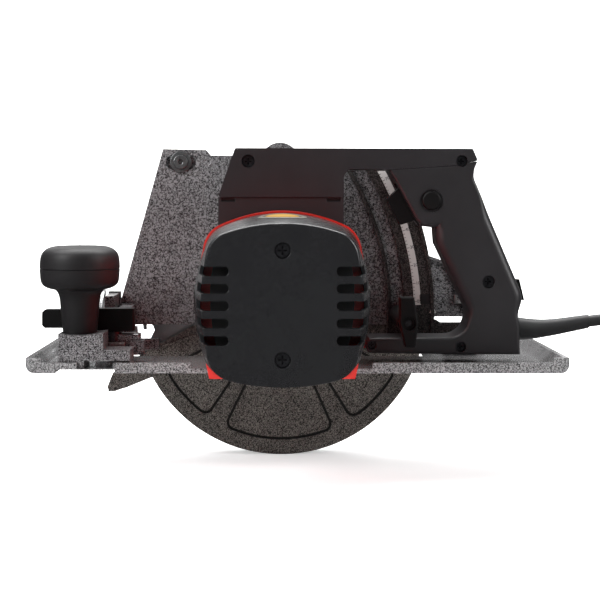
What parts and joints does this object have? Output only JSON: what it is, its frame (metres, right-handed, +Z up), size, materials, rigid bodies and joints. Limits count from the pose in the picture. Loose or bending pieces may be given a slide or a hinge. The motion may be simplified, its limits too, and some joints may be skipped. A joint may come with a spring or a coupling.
{
  "type": "circular saw",
  "caption": "Corded circular saw with motor beside the blade, rear D-handle, front knob, tilting and dropping shoe and swinging lower guard.",
  "frame": {"origin": "on the shoe's underside, straight below the arbor, in the blade's mid-plane", "axes": "+X towards the rear handle, +Y away from the motor, +Z up out of the shoe"},
  "size_m": [0.7557, 0.287, 0.2885],
  "materials": {
    "cast_grey": "hammertone paint on die-cast aluminium, fine dark veins",
    "shoe_grey": "glossy hammertone paint on the cast aluminium shoe",
    "housing_red": "bright red glass-filled nylon, fine texture",
    "cap_black": "black glass-filled nylon, fine matte grain",
    "handle_black": "charcoal black moulded plastic, fine grain",
    "lever_black": "black coated lever and small mouldings",
    "moulding_black": "black inner moulding",
    "case_alloy": "die-cast alloy, satin",
    "steel": "turned and ground steel",
    "screw_zinc": "zinc-plated steel",
    "blade_steel": "ground blade steel with circular grinding marks",
    "core_iron": "laminated iron",
    "copper": "enamelled copper",
    "carbon": "pressed carbon",
    "scale_white": "pale printed scale strip with plain ticks",
    "cord_rubber": "black rubber sheath"
  },
  "bodies": {
    "saw": {"upper_guard": "cast_grey", "chip_deflector": "cast_grey", "deflector_screw": "screw_zinc", "guard_retainer": "steel", "guard_spring": "steel", "spindle_bearings": "steel", "gear_case": "case_alloy", "gear_case_screws": "screw_zinc", "motor_housing": "housing_red", "bearing_bracket": "moulding_black", "field_core": "core_iron", "field_windings": "copper", "air_baffle": "moulding_black", "armature_bearings": "steel", "brush_holders": "moulding_black", "carbon_brushes": "carbon", "brush_caps": "lever_black", "motor_end_cap": "cap_black", "end_cap_screws": "screw_zinc", "handle_bar": "handle_black", "handle_saddle": "handle_black", "grip_left": "handle_black", "grip_right": "handle_black", "handle_screws": "screw_zinc", "switch_body": "moulding_black", "wrench_clip": "lever_black", "cord_boot": "cord_rubber", "cord_lead": "cord_rubber", "cord_coil": "cord_rubber", "plug_body": "cord_rubber", "plug_prongs": "steel", "depth_stud": "steel", "lever_spacer": "lever_black"},
    "spindle": {"spindle_shaft": "steel", "spindle_gear": "steel", "blade_flanges": "steel", "saw_blade": "blade_steel", "blade_bolt": "screw_zinc"},
    "armature": {"armature_shaft": "steel", "armature_core": "core_iron", "armature_windings": "copper", "commutator": "copper", "cooling_fan": "moulding_black"},
    "lower_guard": {"lower_guard": "cast_grey"},
    "trigger": {"trigger": "handle_black"},
    "lock_button": {"lock_button": "handle_black"},
    "spindle_lock": {"spindle_lock": "screw_zinc"},
    "depth_lever": {"depth_lever": "lever_black"},
    "bracket": {"front_bracket": "cast_grey", "depth_pivot_pin": "steel", "bevel_clamp_bolt": "screw_zinc", "bevel_stud": "steel", "depth_quadrant": "cast_grey", "depth_scale": "scale_white"},
    "bevel_lever": {"bevel_lever": "lever_black"},
    "shoe": {"shoe": "shoe_grey", "bevel_quadrant": "shoe_grey", "bevel_pins": "steel", "knob_block": "cast_grey", "front_knob": "handle_black"}
  },
  "joints": [
    {"name": "spindle_spin", "type": "hinge", "parent": "saw", "child": "spindle", "pos_m": [0, 0, 0.0455], "axis": [0, 1, 0], "continuous": true},
    {"name": "armature_spin", "type": "hinge", "parent": "saw", "child": "armature", "pos_m": [0, 0, 0.068], "axis": [0, 1, 0], "continuous": true},
    {"name": "guard_swing", "type": "hinge", "parent": "saw", "child": "lower_guard", "pos_m": [0, 0, 0.0455], "axis": [0, -1, 0], "range_deg": [0, 115], "stiffness_Nm_per_rad": 0.5, "springref_deg": -34.38},
    {"name": "trigger_pull", "type": "hinge", "parent": "saw", "child": "trigger", "pos_m": [0.112, -0.075, 0.152], "axis": [0, -1, 0], "range_deg": [0, 10], "stiffness_Nm_per_rad": 0.5, "springref_deg": -5.73},
    {"name": "lock_press", "type": "slide", "parent": "saw", "child": "lock_button", "axis": [0, 1, 0], "range_m": [0, 0.0025], "stiffness_N_per_m": 600, "springref_m": -0.002},
    {"name": "spindle_lock_press", "type": "slide", "parent": "saw", "child": "spindle_lock", "axis": [-1, 0, 0], "range_m": [0, 0.004], "stiffness_N_per_m": 600, "springref_m": -0.002},
    {"name": "depth_lever_turn", "type": "hinge", "parent": "saw", "child": "depth_lever", "pos_m": [0.107, -0.11, 0.0413], "axis": [0, 1, 0], "range_deg": [0, 60]},
    {"name": "depth_swing", "type": "hinge", "parent": "saw", "child": "bracket", "pos_m": [-0.146, 0, 0.0425], "axis": [0, 1, 0], "range_deg": [0, 32]},
    {"name": "bevel_tilt", "type": "hinge", "parent": "bracket", "child": "shoe", "pos_m": [0, 0, 0.012], "axis": [1, 0, 0], "range_deg": [0, 45]},
    {"name": "bevel_lever_turn", "type": "hinge", "parent": "bracket", "child": "bevel_lever", "pos_m": [-0.147, -0.074, 0.04], "axis": [0, 0, -1], "range_deg": [0, 35]}
  ],
  "couplings": [
    {"joint": "armature_spin", "follows": "spindle_spin", "ratio": -4.1429}
  ]
}
